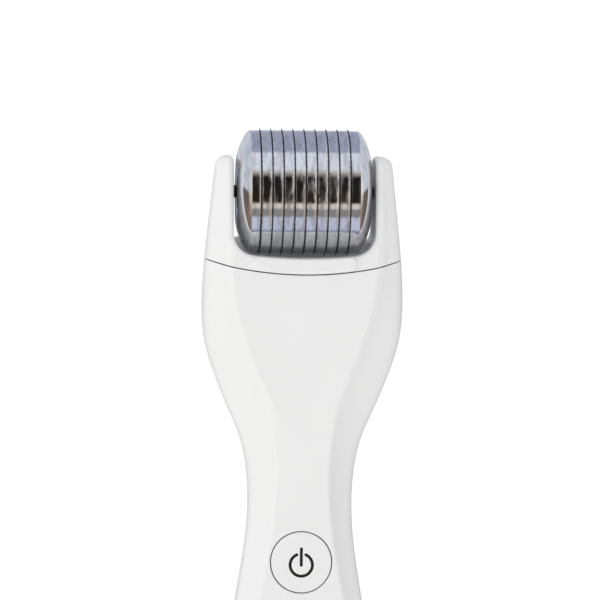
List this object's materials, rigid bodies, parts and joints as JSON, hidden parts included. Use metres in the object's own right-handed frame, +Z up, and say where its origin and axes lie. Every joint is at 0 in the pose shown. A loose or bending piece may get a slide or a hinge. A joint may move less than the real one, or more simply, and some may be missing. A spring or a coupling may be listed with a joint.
{
  "type": "derma roller",
  "caption": "Vibrating facial derma roller: moulded handle with power button and pull-off fork head holding a metal roller ringed with fine needles.",
  "frame": {"origin": "middle of the flat base that the handle stands on", "axes": "+Z up the handle to the roller, -Y out of the front with the power button, +X along the roller's axle to the right seen from the front"},
  "size_m": [0.0402, 0.0269, 0.1649],
  "materials": {
    "white_abs": "satin",
    "black_print": "matte",
    "silicone": "matte",
    "switch_black": "matte",
    "switch_plunger": "satin",
    "board_green": "satin",
    "chip_black": "matte",
    "zinc_steel": "satin",
    "spring_steel": "satin",
    "socket_steel": "satin",
    "cell_sleeve": "satin",
    "motor_steel": "satin",
    "boot_rubber": "matte",
    "brass": "satin",
    "lead_red": "satin",
    "lead_black": "satin",
    "grey_abs": "matte",
    "axle_steel": "satin",
    "acetal": "satin",
    "chrome": "polished",
    "needle_steel": "polished"
  },
  "bodies": {
    "handle": {"front_shell": "white_abs", "rear_shell": "white_abs", "base_cap": "white_abs", "socket_collar": "grey_abs", "retaining_springs": "spring_steel", "button_return_pad": "silicone", "switch_housing": "switch_black", "main_board": "board_green", "board_chips": "chip_black", "board_screws": "zinc_steel", "battery_cell": "cell_sleeve", "usb_socket": "socket_steel", "charging_board": "board_green", "charging_leads": "lead_red", "battery_leads": "lead_red", "motor_leads": "lead_black", "motor_can": "motor_steel", "motor_boot": "boot_rubber"},
    "button": {"power_button": "white_abs", "power_symbol": "black_print", "switch_plunger": "switch_plunger"},
    "head": {"fork": "white_abs", "axle": "axle_steel", "axle_plug_left": "white_abs", "axle_plug_right": "white_abs"},
    "roller": {"roller_core": "grey_abs", "end_cap_left": "chrome", "end_cap_right": "chrome", "axle_bush_left": "acetal", "axle_bush_right": "acetal", "needle_disc_1": "needle_steel", "needle_disc_2": "needle_steel", "needle_disc_3": "needle_steel", "needle_disc_4": "needle_steel", "needle_disc_5": "needle_steel", "needle_disc_6": "needle_steel", "needle_disc_7": "needle_steel", "needle_disc_8": "needle_steel", "needle_disc_9": "needle_steel", "spacer_ring_1": "chrome", "spacer_ring_2": "chrome", "spacer_ring_3": "chrome", "spacer_ring_4": "chrome", "spacer_ring_5": "chrome", "spacer_ring_6": "chrome", "spacer_ring_7": "chrome", "spacer_ring_8": "chrome"},
    "motor_rotor": {"motor_shaft": "motor_steel", "eccentric_weight": "brass"}
  },
  "joints": [
    {"name": "button_press", "type": "slide", "parent": "handle", "child": "button", "axis": [0, 1, 0], "range_m": [0, 0.0005], "stiffness_N_per_m": 1500, "deforming": ["button_return_pad"]},
    {"name": "head_pull", "type": "slide", "parent": "handle", "child": "head", "axis": [0, 0, 1], "range_m": [0, 0.025], "deforming": ["retaining_springs"]},
    {"name": "roller_spin", "type": "hinge", "parent": "head", "child": "roller", "pos_m": [0, -0.001, 0.1523], "axis": [1, 0, 0], "continuous": true},
    {"name": "motor_spin", "type": "hinge", "parent": "handle", "child": "motor_rotor", "pos_m": [0, 0, 0.11], "axis": [0, 0, 1], "continuous": true}
  ]
}
